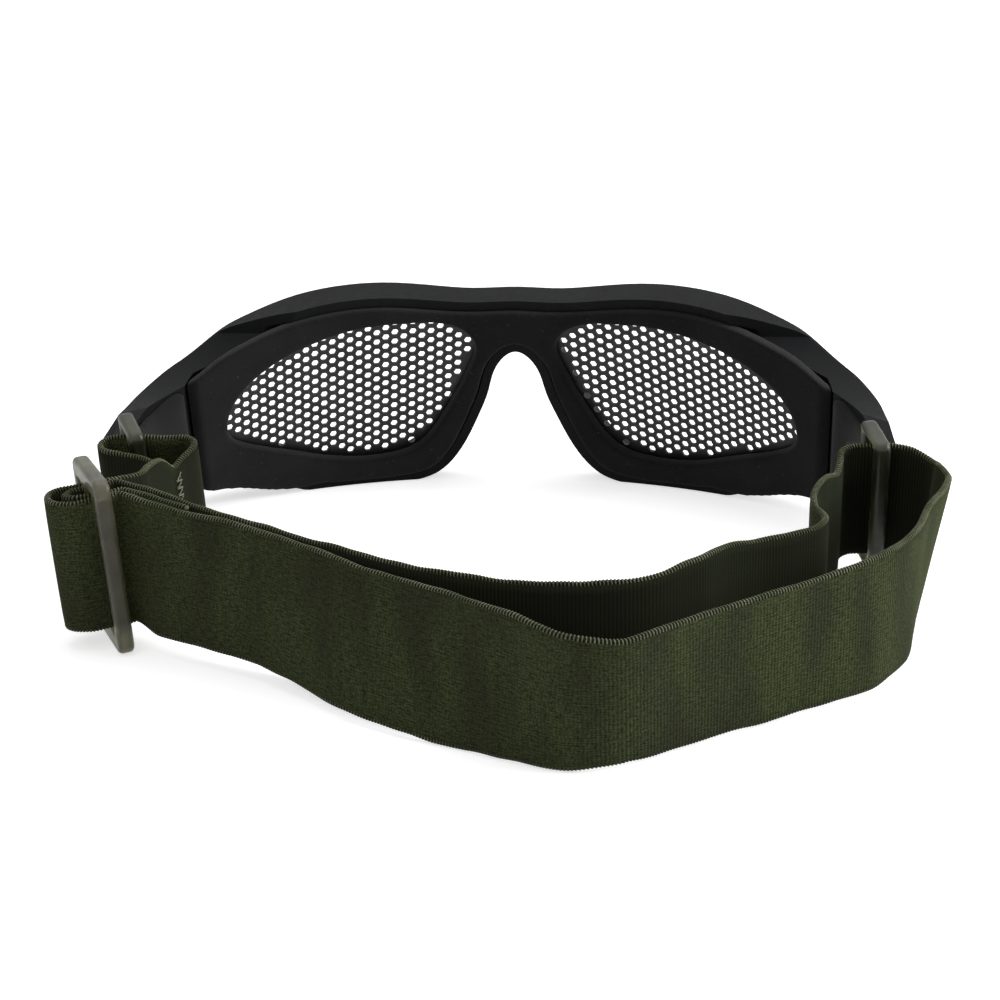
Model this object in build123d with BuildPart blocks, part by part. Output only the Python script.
"""Mesh safety goggles: a wrap-round frame with two perforated steel lenses and an elastic head strap.

Millimetres. The goggles stand on a table, leaning back on their lower rim, with the strap lying in a
slack loop behind them. +Y is the way the wearer looks, X runs along the width and the table is Z = 0.
"""

import os
from math import asin, cos, degrees, radians, sin, sqrt, tan

from build123d import *

# Whole object
FRAME_FORWARD = 80.9  # from the part's middle to the back of the nose bridge
FRAME_SIDE = -4.1  # the same to the goggles' plane of symmetry
FRAME_RAISE = 3.4  # height of the goggles' own zero over the table
LEAN = 15.0  # degrees that the frame leans back
OVERRUN = 6.0  # what a cut reaches past the wall that it opens
FIT = 0.3  # air between a soft or loose piece and its seat
CURVE_POINTS = 36  # that a curve is redrawn from when it is moved sideways

# Frame shell, in the goggles' own upright directions
FACE_RADIUS = 98.0  # back of the rim, about an axis behind the wearer's brow
FACE_CENTRE = 100.0  # how far that axis lies behind the bridge
FACE_TURN = 40.0  # degrees from the middle at which the back turns into the wing
FACE_WING_RADIUS = 28.0
FRONT_APEX = 5.5  # front of the bridge
FRONT_RADIUS = 117.0
FRONT_HALF = 60.0  # half width of the wide front arc
FRONT_WING_RADIUS = 34.0
WING_TURN = 85.0  # degrees from straight ahead at which the wings run back
WING_END = 56.0  # how far behind the bridge the wings end
FRAME_HALF = 90.0  # half width of the outlines below, past the wings
FRAME_HEIGHT = 46.0
RIM = 2.0  # wall round the liner
LEDGE_RADIUS = 100.7  # where the lenses seat
LINER_HALF = 67.0  # where the lined part ends and the bare wing begins
WING_WALL = 2.4
EDGE_ROUND = 0.8

# Lenses
LENS_YAW = 20.0  # degrees that a lens faces outward
LENS_WIDTH = 57.0
LENS_HEIGHT = 34.4
LENS_LOW = 4.2  # lowest point of the opening, over the frame's own zero
LENS_FLANGE = 2.2  # what the plate reaches under the liner
LENS_FLARE = 4.0  # what the opening has widened by where it leaves the front
FLARE_LENGTH = 14.0
FLARE_START = 1.0  # behind the lens plane
MESH_RADIUS = 100.0
MESH_THICKNESS = 0.55
MESH_FLATS = 84  # that a full turn of the sheet is bent in
HOLE_PITCH = 2.26
HOLE_ACROSS = 1.62  # between opposite corners
HOLE_MARGIN = 0.55  # least plate left beside the liner's edge
HOLE_TURN = 4.0  # degrees that the rows are turned
EDGE_POINTS = 240  # that the border round the holes is read at

# Foam liner
LINER_THICKNESS = 3.2
LINER_LIP = 0.8  # how far it covers the edge of a lens

# Strap rings and the hooks that hold them
RING_HEIGHT = 29.4
RING_DEPTH = 11.0
RING_THICKNESS = 3.2
RING_BAR = 2.6
RING_RAIL = 1.8
RING_EDGE = 0.6
RING_HINGE_RADIUS = 1.5  # of the round bar that turns in its hook
RING_BAR_X = 72.2  # middle of the hooked bar, from the plane of symmetry
RING_BAR_Y = 55.7  # the same, behind the bridge
RING_LOW = 14.8  # underside of the ring over the frame's own zero
LEFT_RING_TURN = 26.0  # degrees that the left ring points toward +X
RIGHT_RING_TURN = 14.0  # the same for the right ring
HOOK_WALL = 1.8
HOOK_GAP = 0.6  # air round the hooked bar
HOOK_HEIGHT = 20.6
HOOK_LIP = 5.0
HOOK_ROOT = 8.0  # how far the hook's outer wall runs into the wing

# Slider
SLIDER_HEIGHT = 33.0
SLIDER_THICKNESS = 3.0
SLIDER_BAR = 2.8
SLIDER_SLOT = 5.6
SLIDER_WINDOW = 26.0
SLIDER_CORNER = 2.2
SLIDER_EDGE = 0.5
SLIDER_X = -66.7
SLIDER_Y = -106.6
SLIDER_TURN = 27.0  # degrees about the vertical
SLIDER_LEAN = (-0.07, -0.05)  # share of its height by which its top leans over

# Strap
STRAP_WIDTH = 25.0
STRAP_THICKNESS = 1.6
PLY_GAP = 0.4  # air between plies that lie together
STRAP_SPAN = 170.0  # width over the loop as it lies, which the shares below follow
SLIDER_RUN = 5.0  # how far the strap runs straight to the right of the slider's middle
SLIDER_BEND_RUN = 2.6  # the same to the left, before it turns round the centre bar
SPAN_STEPS = 2  # sections of the strap from one point of its route to the next
STITCH_WIDTH = 1.6
STITCH_THICKNESS = 0.4
STITCH_SHARE = 0.84  # of the strap's width
STITCH_GAP = 0.08


def at_table(x, y, z=0.0):
    """A point given from the bridge, on the table's directions."""
    return Vector(x + FRAME_SIDE, y + FRAME_FORWARD, z)


lean = radians(LEAN)
goggles = Plane(
    origin=at_table(0, 0, FRAME_RAISE),
    x_dir=(1, 0, 0),
    z_dir=(0, -sin(lean), cos(lean)),
)
front = Plane(origin=goggles.origin, x_dir=(1, 0, 0), z_dir=-goggles.y_dir)
side = Plane(origin=goggles.origin, x_dir=goggles.y_dir, z_dir=(1, 0, 0))
symmetry = Plane.YZ.offset(FRAME_SIDE)


def upright(x, y, z):
    """A point given in the goggles' own upright directions."""
    return goggles.from_local_coords(Vector(x, y, z))


# Outlines seen from the front, as shares of the frame's half width and height. Each runs over half of
# the frame and is mirrored. Beyond the lenses they only clear the wings, whose edges the side tables give.
TOP_SHARES = (
    (0.0, 0.898), (0.1, 0.895), (0.2, 0.92), (0.31, 0.955), (0.42, 0.968), (0.53, 0.953),
    (0.62, 0.913), (0.7, 0.856), (0.76, 0.793), (0.82, 0.79), (1.0, 0.9),
)
NOTCH_SHARES = ((0.0, 0.63), (0.032, 0.6), (0.06, 0.48), (0.1, 0.27), (0.145, 0.1))
LOWER_SHARES = (
    (0.2, -0.015), (0.3, -0.056), (0.4, -0.042), (0.5, -0.008), (0.58, 0.036),
    (0.66, 0.1), (0.74, 0.15), (1.0, 0.2),
)
# Outlines of a wing seen from the side, as shares of how far it reaches back and of the height
WING_TOP_SHARES = (
    (0.25, 0.86), (0.32, 0.806), (0.44, 0.768), (0.59, 0.765), (0.75, 0.795), (0.88, 0.828), (1.0, 0.84),
)
WING_LOW_SHARES = ((0.27, 0.11), (0.36, 0.16), (0.54, 0.22), (0.72, 0.29), (0.89, 0.36))
WING_STEP_SHARE = 0.745  # of the height: below it the wing ends short of its tip
WING_STEP_BACK_SHARE = 0.89
MIDDLE_SHARE = 0.2  # of the wing's reach, in front of which the side outline cuts nothing
# The lens opening, square to the lens, as shares of its width and height
LENS_SHARES = (
    (0.545, 0.47), (0.53, 0.61), (0.45, 0.765), (0.25, 0.92), (0.0, 0.995), (-0.23, 0.99),
    (-0.4, 0.915), (-0.455, 0.79), (-0.43, 0.6), (-0.325, 0.27), (-0.21, 0.05),
    (-0.07, 0.0), (0.09, 0.035), (0.31, 0.18), (0.48, 0.325),
)


def scaled(shares, width, height):
    return [(x * width, y * height) for x, y in shares]


def mirrored(points):
    """The points from the plane of symmetry outward, after their mirror images."""
    return [(-x, y) for x, y in reversed(points) if x > 0] + list(points)


def shifted(curve, distance):
    """Points along a curve, moved to its left by the distance."""
    points = []
    for index in range(CURVE_POINTS + 1):
        share = index / CURVE_POINTS
        along = curve % share
        points.append((curve @ share) + Vector(-along.Y, along.X) * distance)
    return points


def front_outline(inset=0.0):
    """The frame seen from the front, drawn in by the inset."""
    with BuildSketch(front) as sketch:
        with BuildLine():
            whole_top = Spline(*mirrored(scaled(TOP_SHARES, FRAME_HALF, FRAME_HEIGHT)), mode=Mode.PRIVATE)
            low_shares = NOTCH_SHARES + LOWER_SHARES
            whole_low = Spline(*mirrored(scaled(low_shares, FRAME_HALF, FRAME_HEIGHT)), mode=Mode.PRIVATE)
            top = Spline(*shifted(whole_top, -inset))
            low = Spline(*shifted(whole_low, inset))
            Line(top @ 0, low @ 0)
            Line(top @ 1, low @ 1)
        make_face()
    return sketch.sketch


def side_outline(inset=0.0):
    """The wings seen from the side, with the frame's middle left whole; drawn in, it is the wing's hollow."""
    ahead = FRONT_APEX + OVERRUN
    over = FRAME_HEIGHT + OVERRUN
    middle = -MIDDLE_SHARE * WING_END
    end = inset - WING_END
    step = WING_STEP_SHARE * FRAME_HEIGHT
    short = -WING_STEP_BACK_SHARE * WING_END
    top_shares = WING_TOP_SHARES[:-1] if inset else WING_TOP_SHARES
    with BuildSketch(side) as sketch:
        with BuildLine():
            top = Spline(*[(y, z - inset) for y, z in scaled(top_shares, end, FRAME_HEIGHT)])
            low = Spline(*[(y, z + inset) for y, z in scaled(WING_LOW_SHARES, end, FRAME_HEIGHT)])
            Polyline(top @ 0, (middle, over), (ahead, over), (ahead, -OVERRUN), (middle, -OVERRUN), low @ 0)
            if inset:
                Line(top @ 1, low @ 1)
            else:
                Polyline(top @ 1, (end, step), (short, step), low @ 1)
        make_face()
    return sketch.sketch


def half_curve(radius, centre, turn, wing_radius):
    """Half of a plan curve: a wide arc, a tight arc that turns it backward, and a straight run."""
    wide = CenterArc((0, -centre), radius, 90, -turn)
    tight = JernArc(wide @ 1, wide % 1, wing_radius, turn - WING_TURN)
    run = (WING_END + (tight @ 1).Y) / sin(radians(WING_TURN))
    straight = Line(tight @ 1, (tight @ 1) + (tight % 1) * run)
    return wide @ 0, straight @ 1


def plan_band(front_inset=0.0, back_outset=0.0):
    """The wall between the wearer's side and the front, seen from above."""
    with BuildSketch(goggles.offset(-OVERRUN)) as sketch:
        with BuildLine():
            outer_start, outer_end = half_curve(
                FRONT_RADIUS - front_inset, FRONT_RADIUS - FRONT_APEX,
                degrees(asin(FRONT_HALF / FRONT_RADIUS)), FRONT_WING_RADIUS - front_inset,
            )
            inner_start, inner_end = half_curve(
                FACE_RADIUS + back_outset, FACE_CENTRE, FACE_TURN, FACE_WING_RADIUS + back_outset,
            )
            Line(outer_start, inner_start)
            Line(outer_end, inner_end)
        make_face()
        mirror(about=Plane.YZ)
    return sketch.sketch


def drum(radius, hole=0.0):
    """A round wall about the axis behind the wearer's brow."""
    with BuildSketch(goggles.offset(-OVERRUN)) as sketch:
        with Locations((0, -FACE_CENTRE)):
            Circle(radius)
            if hole:
                Circle(hole, mode=Mode.SUBTRACT)
    return sketch.sketch


def mesh_drum():
    """The same as a thin sheet, bent in narrow flats between the rows of holes."""
    with BuildSketch(goggles.offset(-OVERRUN)) as sketch:
        with Locations((0, -FACE_CENTRE)):
            RegularPolygon(MESH_RADIUS + MESH_THICKNESS, MESH_FLATS)
            RegularPolygon(MESH_RADIUS, MESH_FLATS, mode=Mode.SUBTRACT)
    return sketch.sketch


def lens_plane(side_sign):
    """The plane square to one lens, with its height upright and its normal toward the eye."""
    yaw = radians(LENS_YAW)
    out = MESH_RADIUS * sin(yaw) * side_sign
    middle = upright(out, MESH_RADIUS * cos(yaw) - FACE_CENTRE, 0)
    normal = -(goggles.x_dir * sin(yaw) * side_sign + goggles.y_dir * cos(yaw))
    return Plane(origin=middle, x_dir=goggles.z_dir.cross(-normal) * -1, z_dir=normal)


def lens_opening(side_sign, grow=0.0, lift=0.0):
    """The lens opening, grown all round, on its plane or lifted off it toward the eye."""
    with BuildSketch(lens_plane(side_sign).offset(lift)) as sketch:
        with BuildLine():
            shape = scaled(LENS_SHARES, LENS_WIDTH * side_sign, LENS_HEIGHT)
            corners = [(x, y + LENS_LOW) for x, y in shape]
            whole = Spline(*corners, periodic=True, mode=Mode.PRIVATE)
            Spline(*shifted(whole, -grow * side_sign)[:-1], periodic=True)
        make_face()
    return sketch.sketch


full_height = FRAME_HEIGHT + 2 * OVERRUN
reach = WING_END + 2 * OVERRUN


os.makedirs("parts", exist_ok=True)

# Frame shell: the blank, less the lens seat, the wings' hollows and the lens openings, plus the ring hooks
with BuildPart() as lens_seat:
    add(drum(LEDGE_RADIUS))
    extrude(amount=full_height, dir=goggles.z_dir)
    add(extrude(front_outline(RIM), amount=reach, both=True, mode=Mode.PRIVATE), mode=Mode.INTERSECT)
    with Locations(goggles):
        Box(2 * LINER_HALF, 2 * reach, 2 * full_height, mode=Mode.INTERSECT)

with BuildPart() as wing_hollow:
    add(plan_band(front_inset=WING_WALL, back_outset=-OVERRUN))
    extrude(amount=full_height, dir=goggles.z_dir)
    hollow_side = extrude(side_outline(WING_WALL), amount=FRAME_HALF, mode=Mode.PRIVATE)
    add(hollow_side.moved(Location((LINER_HALF + WING_WALL, 0, 0))), mode=Mode.INTERSECT)
    mirror(about=symmetry)

hook_half = RING_THICKNESS / 2 + HOOK_GAP
hook_floor = RING_BAR / 2 + HOOK_GAP
with BuildPart() as hooks:
    with BuildSketch(goggles.offset(RING_LOW + RING_RAIL + FIT)):
        with BuildLine():
            FilletPolyline(
                (RING_BAR_X - hook_half - HOOK_WALL, HOOK_LIP - RING_BAR_Y - hook_floor),
                (RING_BAR_X - hook_half - HOOK_WALL, -RING_BAR_Y - hook_floor - HOOK_WALL),
                (RING_BAR_X + hook_half + HOOK_WALL, -RING_BAR_Y - hook_floor - HOOK_WALL),
                (RING_BAR_X + hook_half + HOOK_WALL, HOOK_ROOT - RING_BAR_Y),
                (RING_BAR_X + hook_half, HOOK_ROOT - RING_BAR_Y),
                (RING_BAR_X + hook_half, -RING_BAR_Y - hook_floor),
                (RING_BAR_X - hook_half, -RING_BAR_Y - hook_floor),
                (RING_BAR_X - hook_half, HOOK_LIP - RING_BAR_Y - hook_floor),
                radius=RING_EDGE,
                close=True,
            )
        make_face()
        mirror(about=Plane.YZ)
    extrude(amount=HOOK_HEIGHT, dir=goggles.z_dir)


def on_front(edge):
    """Whether an edge runs round the front of the lenses, and not round their back or the wings."""
    middle = goggles.to_local_coords(edge @ 0.5)
    from_brow = sqrt(middle.X**2 + (middle.Y + FACE_CENTRE) ** 2)
    return abs(middle.X) < LINER_HALF and from_brow > FACE_RADIUS + FRONT_APEX


with BuildPart() as frame_shell:
    add(plan_band())
    extrude(amount=full_height, dir=goggles.z_dir)
    add(extrude(front_outline(), amount=reach, both=True, mode=Mode.PRIVATE), mode=Mode.INTERSECT)
    add(extrude(side_outline(), amount=FRAME_HALF, both=True, mode=Mode.PRIVATE), mode=Mode.INTERSECT)
    front_edges = [edge for edge in frame_shell.edges().filter_by(GeomType.BSPLINE) if on_front(edge)]
    fillet(front_edges, radius=EDGE_ROUND)
    add(lens_seat.part, mode=Mode.SUBTRACT)
    add(wing_hollow.part, mode=Mode.SUBTRACT)
    for side_sign in (1, -1):
        hole = extrude(lens_opening(side_sign, grow=FIT), amount=reach, both=True, mode=Mode.PRIVATE)
        add(hole, mode=Mode.SUBTRACT)
        flare_end = FLARE_START - FLARE_LENGTH
        flare = loft(
            [lens_opening(side_sign, FIT, FLARE_START), lens_opening(side_sign, LENS_FLARE, flare_end)],
            mode=Mode.PRIVATE,
        )
        add(flare, mode=Mode.SUBTRACT)
    add(hooks.part)
    with Locations((0, 0, -full_height)):
        Box(4 * FRAME_HALF, 4 * FRAME_HALF, 2 * full_height, mode=Mode.SUBTRACT)
frame_shell.part.label = "frame_shell"
export_step(frame_shell.part, "parts/frame_shell.step")

# Foam liner: one padded band with an opening for each eye
liner_back = LEDGE_RADIUS - MESH_THICKNESS - LINER_THICKNESS - FIT
with BuildPart() as foam_liner:
    add(drum(MESH_RADIUS - FIT, liner_back))
    extrude(amount=full_height, dir=goggles.z_dir)
    add(extrude(front_outline(RIM + FIT), amount=reach, both=True, mode=Mode.PRIVATE), mode=Mode.INTERSECT)
    with Locations(goggles.offset(FRAME_HEIGHT / 2).move(Location((0, reach - FACE_WING_RADIUS, 0)))):
        Box(2 * (LINER_HALF - FIT), 2 * reach, 2 * full_height, mode=Mode.INTERSECT)
    for side_sign in (1, -1):
        hole = extrude(lens_opening(side_sign, grow=-LINER_LIP), amount=reach, both=True, mode=Mode.PRIVATE)
        add(hole, mode=Mode.SUBTRACT)
foam_liner.part.label = "foam_liner"
export_step(foam_liner.part, "parts/foam_liner.step")


def inside(point, polygon):
    """Whether a point lies inside a closed run of points."""
    x, y = point
    count = 0
    for (x1, y1), (x2, y2) in zip(polygon, polygon[1:] + polygon[:1]):
        if (y1 > y) != (y2 > y) and x < x1 + (y - y1) * (x2 - x1) / (y2 - y1):
            count += 1
    return count % 2 == 1


# Lenses: curved steel sheet with rows of six-sided holes, which run straight through square to the lens
mesh_plane = lens_plane(1).offset(-LENS_WIDTH / 4)
plate_edge = lens_opening(1, LENS_FLANGE, -LENS_WIDTH / 4).face().outer_wire()
clear_edge = lens_opening(1, -HOLE_MARGIN - HOLE_ACROSS / 2, -LENS_WIDTH / 4).face().outer_wire()
clear_points = [clear_edge.position_at(index / EDGE_POINTS) for index in range(EDGE_POINTS)]
clear_border = [tuple(mesh_plane.to_local_coords(point))[:2] for point in clear_points]
row_turn = radians(HOLE_TURN)
half_columns = int(LENS_WIDTH / HOLE_PITCH)
hole_places = []
for column in range(-half_columns, half_columns + 1):
    for row in range(-half_columns, half_columns + 1):
        across = column * HOLE_PITCH * sqrt(3) / 2
        up = (row + (column % 2) / 2) * HOLE_PITCH
        place = (
            across * cos(row_turn) - up * sin(row_turn),
            LENS_LOW + LENS_HEIGHT / 2 + across * sin(row_turn) + up * cos(row_turn),
        )
        if inside(place, clear_border):
            hole_places.append(place)


def hole_wire(place):
    """One six-sided hole, with a corner toward each side."""
    corners = [radians(60 * side_index + HOLE_TURN) for side_index in range(6)]
    half = HOLE_ACROSS / 2
    flat = [(place[0] + half * cos(angle), place[1] + half * sin(angle), 0) for angle in corners]
    return Wire.make_polygon([mesh_plane.from_local_coords(point) for point in flat], close=True)


perforated = Face(plate_edge, [hole_wire(place) for place in hole_places])
with BuildPart() as mesh_right:
    add(mesh_drum())
    extrude(amount=full_height, dir=goggles.z_dir)
    add(extrude(front_outline(RIM + FIT), amount=reach, both=True, mode=Mode.PRIVATE), mode=Mode.INTERSECT)
    add(extrude(perforated, amount=LENS_WIDTH / 2, dir=mesh_plane.z_dir, mode=Mode.PRIVATE), mode=Mode.INTERSECT)
mesh_right.part.label = "mesh_right"
export_step(mesh_right.part, "parts/mesh_right.step")

with BuildPart() as mesh_left:
    add(mirror(mesh_right.part, about=symmetry, mode=Mode.PRIVATE))
mesh_left.part.label = "mesh_left"
export_step(mesh_left.part, "parts/mesh_left.step")


# Strap rings: each turns on the bar that its hook holds
def ring_plane(side_sign, turn_degrees):
    """The plane of one ring, from the middle of its hooked bar toward its other bar."""
    swing = radians(turn_degrees)
    along = goggles.x_dir * sin(swing) - goggles.y_dir * cos(swing)
    bar = upright(side_sign * RING_BAR_X, -RING_BAR_Y, RING_LOW + RING_HEIGHT / 2)
    return Plane(origin=bar, x_dir=along, z_dir=along.cross(goggles.z_dir))


def ring_outline(plane):
    """One bar and two rails, open toward the hinge bar, whose middle is the plane's origin."""
    with BuildSketch(plane) as sketch:
        with Locations((RING_DEPTH / 2 - RING_BAR / 2, 0)):
            RectangleRounded(RING_DEPTH, RING_HEIGHT, RING_RAIL)
        with Locations((RING_DEPTH / 2 - RING_BAR * 3 / 2, 0)):
            Rectangle(RING_DEPTH, RING_HEIGHT - 2 * RING_RAIL, mode=Mode.SUBTRACT)
    return sketch.sketch


def hinge_bar(plane):
    """The round bar that turns in the hook, from rail to rail."""
    with BuildSketch(Plane(origin=plane.origin, x_dir=plane.x_dir, z_dir=plane.y_dir)) as sketch:
        Circle(RING_HINGE_RADIUS)
    return sketch.sketch


right_plane = ring_plane(1, RIGHT_RING_TURN)
with BuildPart() as ring_right:
    extrude(ring_outline(right_plane), amount=RING_THICKNESS / 2, both=True)
    chamfer(ring_right.faces().filter_by(Axis(right_plane.origin, right_plane.z_dir)).edges(), length=RING_EDGE)
    extrude(hinge_bar(right_plane), amount=(RING_HEIGHT - RING_RAIL) / 2, both=True)
ring_right.part.label = "ring_right"
export_step(ring_right.part, "parts/ring_right.step")

left_plane = ring_plane(-1, LEFT_RING_TURN)
with BuildPart() as ring_left:
    extrude(ring_outline(left_plane), amount=RING_THICKNESS / 2, both=True)
    chamfer(ring_left.faces().filter_by(Axis(left_plane.origin, left_plane.z_dir)).edges(), length=RING_EDGE)
    extrude(hinge_bar(left_plane), amount=(RING_HEIGHT - RING_RAIL) / 2, both=True)
ring_left.part.label = "ring_left"
export_step(ring_left.part, "parts/ring_left.step")

# Slider: three upright bars between two rails, standing on the table
slider_turn = radians(SLIDER_TURN)
slider_bar = Vector(SLIDER_LEAN[0], SLIDER_LEAN[1], 1).normalized()
slider_through = Vector(cos(slider_turn), sin(slider_turn), 0)
slider_through = (slider_through - slider_bar * slider_through.dot(slider_bar)).normalized()
slider_away = slider_bar.cross(slider_through)
slider_depth = 3 * SLIDER_BAR + 2 * SLIDER_SLOT
slider_rise = (
    SLIDER_HEIGHT * slider_bar.Z + SLIDER_THICKNESS * abs(slider_through.Z) + slider_depth * abs(slider_away.Z)
) / 2
slider_plane = Plane(
    origin=at_table(SLIDER_X, SLIDER_Y, slider_rise),
    x_dir=slider_away,
    z_dir=slider_away.cross(slider_bar),
)
with BuildPart() as slider:
    with BuildSketch(slider_plane):
        RectangleRounded(slider_depth, SLIDER_HEIGHT, SLIDER_CORNER)
        with Locations(((SLIDER_BAR + SLIDER_SLOT) / 2, 0), (-(SLIDER_BAR + SLIDER_SLOT) / 2, 0)):
            Rectangle(SLIDER_SLOT, SLIDER_WINDOW, mode=Mode.SUBTRACT)
    extrude(amount=SLIDER_THICKNESS / 2, both=True)
    chamfer(slider.faces().filter_by(Axis(slider_plane.origin, slider_plane.z_dir)).edges(), length=SLIDER_EDGE)
slider.part.label = "slider"
export_step(slider.part, "parts/slider.step")

# Strap route. Each table gives a point's X and Y, its lower edge's height over the table and the degrees
# that its top leans toward -Y and toward +X, the lengths in hundredths of the span. It starts at the end
# sewn by the slider.
INNER_SHARES = (
    (-28.2, -66.2, 2.0, 0, 0), (-24.4, -68.6, 1.6, 0, 0), (-20.0, -70.8, 1.3, 0, 0), (-14.1, -74.1, 0.8, 0, 0),
    (-8.6, -77.1, 0.5, 0, 0), (-3.3, -79.8, 0.3, 0, 0), (2.9, -82.1, 0.2, 0, 0), (10.6, -83.4, 0.2, 0, 0),
    (18.2, -82.2, 0.4, 0, 0), (23.7, -77.8, 1.0, 0, 0), (26.5, -74.0, 1.1, 0, 0), (29.6, -70.9, 0.7, 0, 0),
    (33.3, -68.0, 0.6, 4, 0), (35.8, -65.2, 0.8, 6, 0), (36.5, -62.5, 1.0, 8, 0), (35.6, -59.1, 1.2, 10, 0),
    (35.8, -54.5, 1.5, 12, 0), (36.9, -50.0, 1.8, 14, 0),
)
OUTER_SHARES = (
    (48.8, -46.0, 1.8, 10, 8), (48.9, -49.6, 1.6, 6, 11), (48.1, -53.8, 1.4, 3, 10), (46.6, -59.8, 1.1, 3, 5),
    (45.0, -66.6, 0.7, 5, 2), (40.9, -73.9, 0.5, 7, 0), (33.5, -80.6, 0.4, 12, 0), (24.1, -88.5, 0.4, 15, 0),
    (17.4, -94.2, 0.4, 19, 0), (14.1, -95.3, 0.3, 14, 0), (11.2, -94.8, 0.2, 10, 0), (6.8, -91.9, 0.2, 0, 0),
    (0.5, -87.4, 0.2, -12, 0), (-4.7, -84.1, 0.5, -18, 0), (-10.3, -80.7, 0.9, -16, 0), (-15.3, -76.8, 1.2, -8, 0),
    (-20.7, -73.0, 1.7, 0, 0), (-24.9, -70.6, 1.9, 0, 0), (-29.2, -68.4, 2.0, 0, 0), (-32.8, -66.3, 2.2, 0, 0),
)
RUN_SHARES = ((-36.6, -56.7, 2.4, 0, 0), (-36.1, -53.2, 2.4, 5, 0), (-35.6, -49.4, 2.4, 10, 0))
# The passes through the rings, in the goggles' own directions: shares of a ring's depth from its hooked bar
RIGHT_PASS_SHARES = (
    (-0.6, -1.39), (-0.53, -0.99), (-0.48, -0.65), (-0.29, -0.46), (0.03, -0.43), (0.39, -0.45),
    (0.75, -0.63), (1.04, -0.98),
)
LEFT_PASS_SHARES = (
    (1.15, -1.44), (1.22, -1.17), (1.3, -0.97), (1.36, -0.77), (1.34, -0.57), (1.2, -0.45), (1.02, -0.43),
    (0.56, -0.43), (0.06, -0.43), (-0.22, -0.52), (-0.31, -0.72), (-0.18, -0.93), (0.11, -1.02),
    (0.47, -1.11), (0.82, -1.3), (0.96, -1.42),
)


def on_table(shares):
    """Middle points and upright directions of the strap where it stands on its edge."""
    route = []
    for x, y, lift, back_degrees, right_degrees in shares:
        upward = Vector(tan(radians(right_degrees)), -tan(radians(back_degrees)), 1).normalized()
        rise = lift * STRAP_SPAN / 100 + STRAP_WIDTH / 2 * upward.Z
        middle = at_table(x * STRAP_SPAN / 100, y * STRAP_SPAN / 100, rise)
        route.append((middle, upward))
    return route


def at_ring(side_sign, shares):
    """The same where it passes a ring."""
    height = RING_LOW + RING_HEIGHT / 2
    return [
        (upright(side_sign * RING_BAR_X + x * RING_DEPTH, y * RING_DEPTH - RING_BAR_Y, height), goggles.z_dir)
        for x, y in shares
    ]


def at_slider(places):
    """The same where it passes the slider, from lengths along the strap and away from the centre bar."""
    middle = slider_plane.origin
    return [(middle + slider_through * run + slider_away * off, slider_bar) for run, off in places]


def straight(right_run, left_run, off):
    """A straight pass by the slider from its right to its left, at a distance from its centre bar."""
    return [(right_run, off), (right_run / 2, off), (-left_run / 2, off), (-left_run, off)]


def turn_back(radius, left_run, steps):
    """A half turn to the left of the slider, from one straight pass to the next."""
    angles = [radians(-90 - 180 * (step + 0.5) / steps) for step in range(steps)]
    return [(radius * cos(angle) - left_run, radius * sin(angle)) for angle in angles]


near_ply = SLIDER_BAR / 2 + FIT + STRAP_THICKNESS / 2
far_ply = near_ply + STRAP_THICKNESS + PLY_GAP
short_run = SLIDER_RUN - near_ply / 2
first_pass = straight(SLIDER_RUN, SLIDER_BEND_RUN, -near_ply) + turn_back(near_ply, SLIDER_BEND_RUN, 3)
first_pass += reversed(straight(SLIDER_RUN, SLIDER_BEND_RUN, near_ply))
second_pass = straight(short_run, short_run, -far_ply) + turn_back(far_ply, short_run, 5)
second_pass += reversed(straight(short_run, short_run, far_ply))
inner_table = on_table(INNER_SHARES)
tack_along = (inner_table[1][0] - inner_table[0][0]).normalized()
tack_across = Vector(tack_along.Y, -tack_along.X, 0).normalized()
end_place = inner_table[0][0] + tack_across * (STRAP_THICKNESS + PLY_GAP)
route = [(end_place, inner_table[0][1])]
route += at_slider(first_pass)
slider_seam_index = len(route)
route += inner_table
route += at_ring(1, RIGHT_PASS_SHARES)
route += on_table(OUTER_SHARES)
route += at_slider(second_pass)
route += on_table(RUN_SHARES)
ring_seam_index = len(route)
route += at_ring(-1, LEFT_PASS_SHARES)


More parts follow.
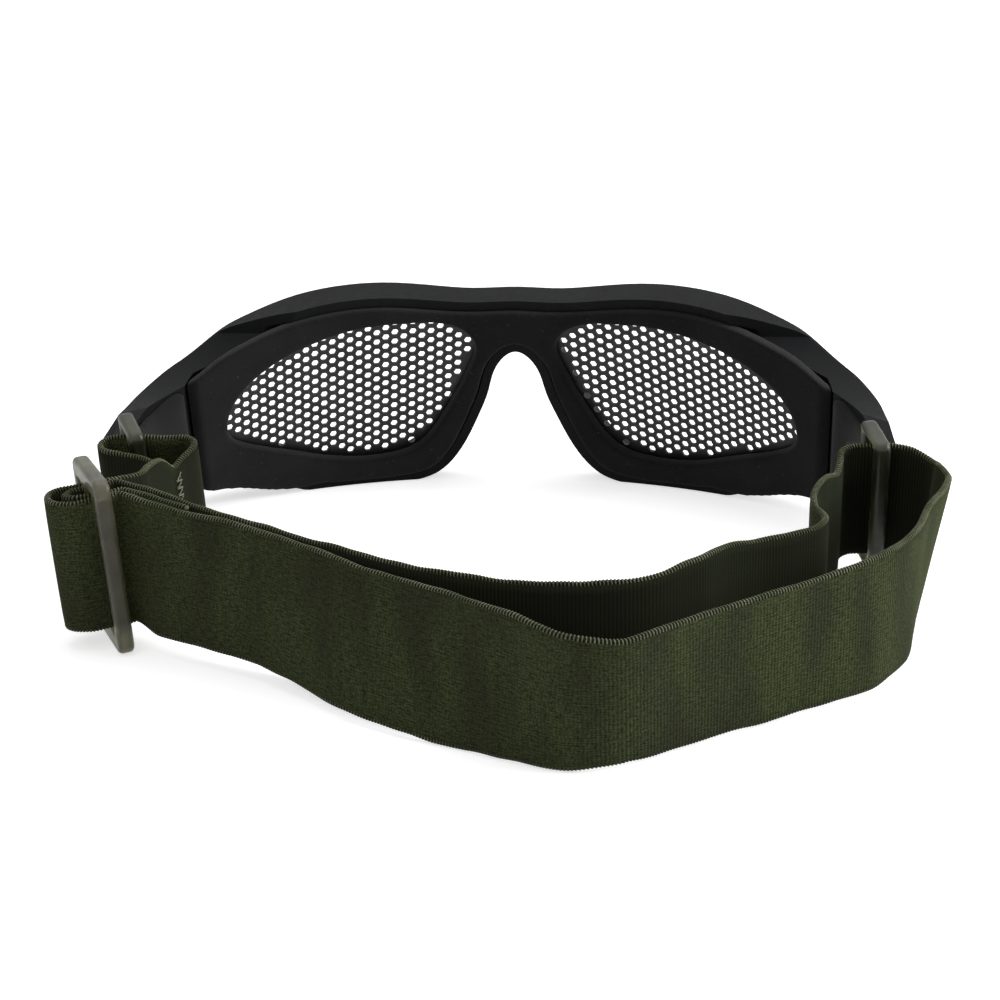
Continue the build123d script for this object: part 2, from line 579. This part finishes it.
def between(values, index, share):
    """A smooth curve through the values, by the Catmull-Rom rule, between one value and the next."""
    last = len(values) - 1
    start, end = values[index], values[index + 1]
    span = (end - start).length
    before = values[max(index - 1, 0)]
    after = values[min(index + 2, last)]
    leave = (end - before) * (span / ((start - before).length + span)) if index else end - start
    arrive = (after - start) * (span / ((after - end).length + span)) if index + 1 < last else end - start
    square, cube = share**2, share**3
    return (
        start * (2 * cube - 3 * square + 1) + leave * (cube - 2 * square + share)
        + end * (3 * square - 2 * cube) + arrive * (cube - square)
    )


points = [middle for middle, _ in route]
centres = []
standing = []
for index in range(len(points) - 1):
    for step in range(SPAN_STEPS):
        share = step / SPAN_STEPS
        centres.append(between(points, index, share))
        standing.append((route[index][1] * (1 - share) + route[index + 1][1] * share).normalized())
centres.append(points[-1])
standing.append(route[-1][1])


def strap_plane(index):
    """The plane across the strap at one of its sections: X through its thickness, Y up its width."""
    behind = centres[max(index - 1, 0)]
    ahead = centres[min(index + 1, len(centres) - 1)]
    through = standing[index].cross(ahead - behind).normalized()
    return Plane(origin=centres[index], x_dir=through, z_dir=through.cross(standing[index]))


with BuildPart() as strap:
    for index in range(len(centres)):
        with BuildSketch(strap_plane(index)):
            Rectangle(STRAP_THICKNESS, STRAP_WIDTH)
    loft(ruled=True)
strap.part.label = "strap"
export_step(strap.part, "parts/strap.step")


# Seams: rows of thread that hold the strap's two ends
def seam_plane(index, face):
    """Where a row of thread lies on one face of the strap at a point of its route."""
    across = strap_plane(index * SPAN_STEPS)
    off = (STRAP_THICKNESS + STITCH_THICKNESS) / 2 + STITCH_GAP
    return Plane(origin=across.origin + across.x_dir * off * face, x_dir=across.x_dir, z_dir=across.z_dir)


with BuildPart() as seam_slider:
    with Locations(seam_plane(slider_seam_index, 1)):
        Box(STITCH_THICKNESS, STRAP_WIDTH * STITCH_SHARE, STITCH_WIDTH)
seam_slider.part.label = "seam_slider"
export_step(seam_slider.part, "parts/seam_slider.step")

with BuildPart() as seam_ring:
    with Locations(seam_plane(ring_seam_index, -1)):
        Box(STITCH_THICKNESS, STRAP_WIDTH * STITCH_SHARE, STITCH_WIDTH)
seam_ring.part.label = "seam_ring"
export_step(seam_ring.part, "parts/seam_ring.step")
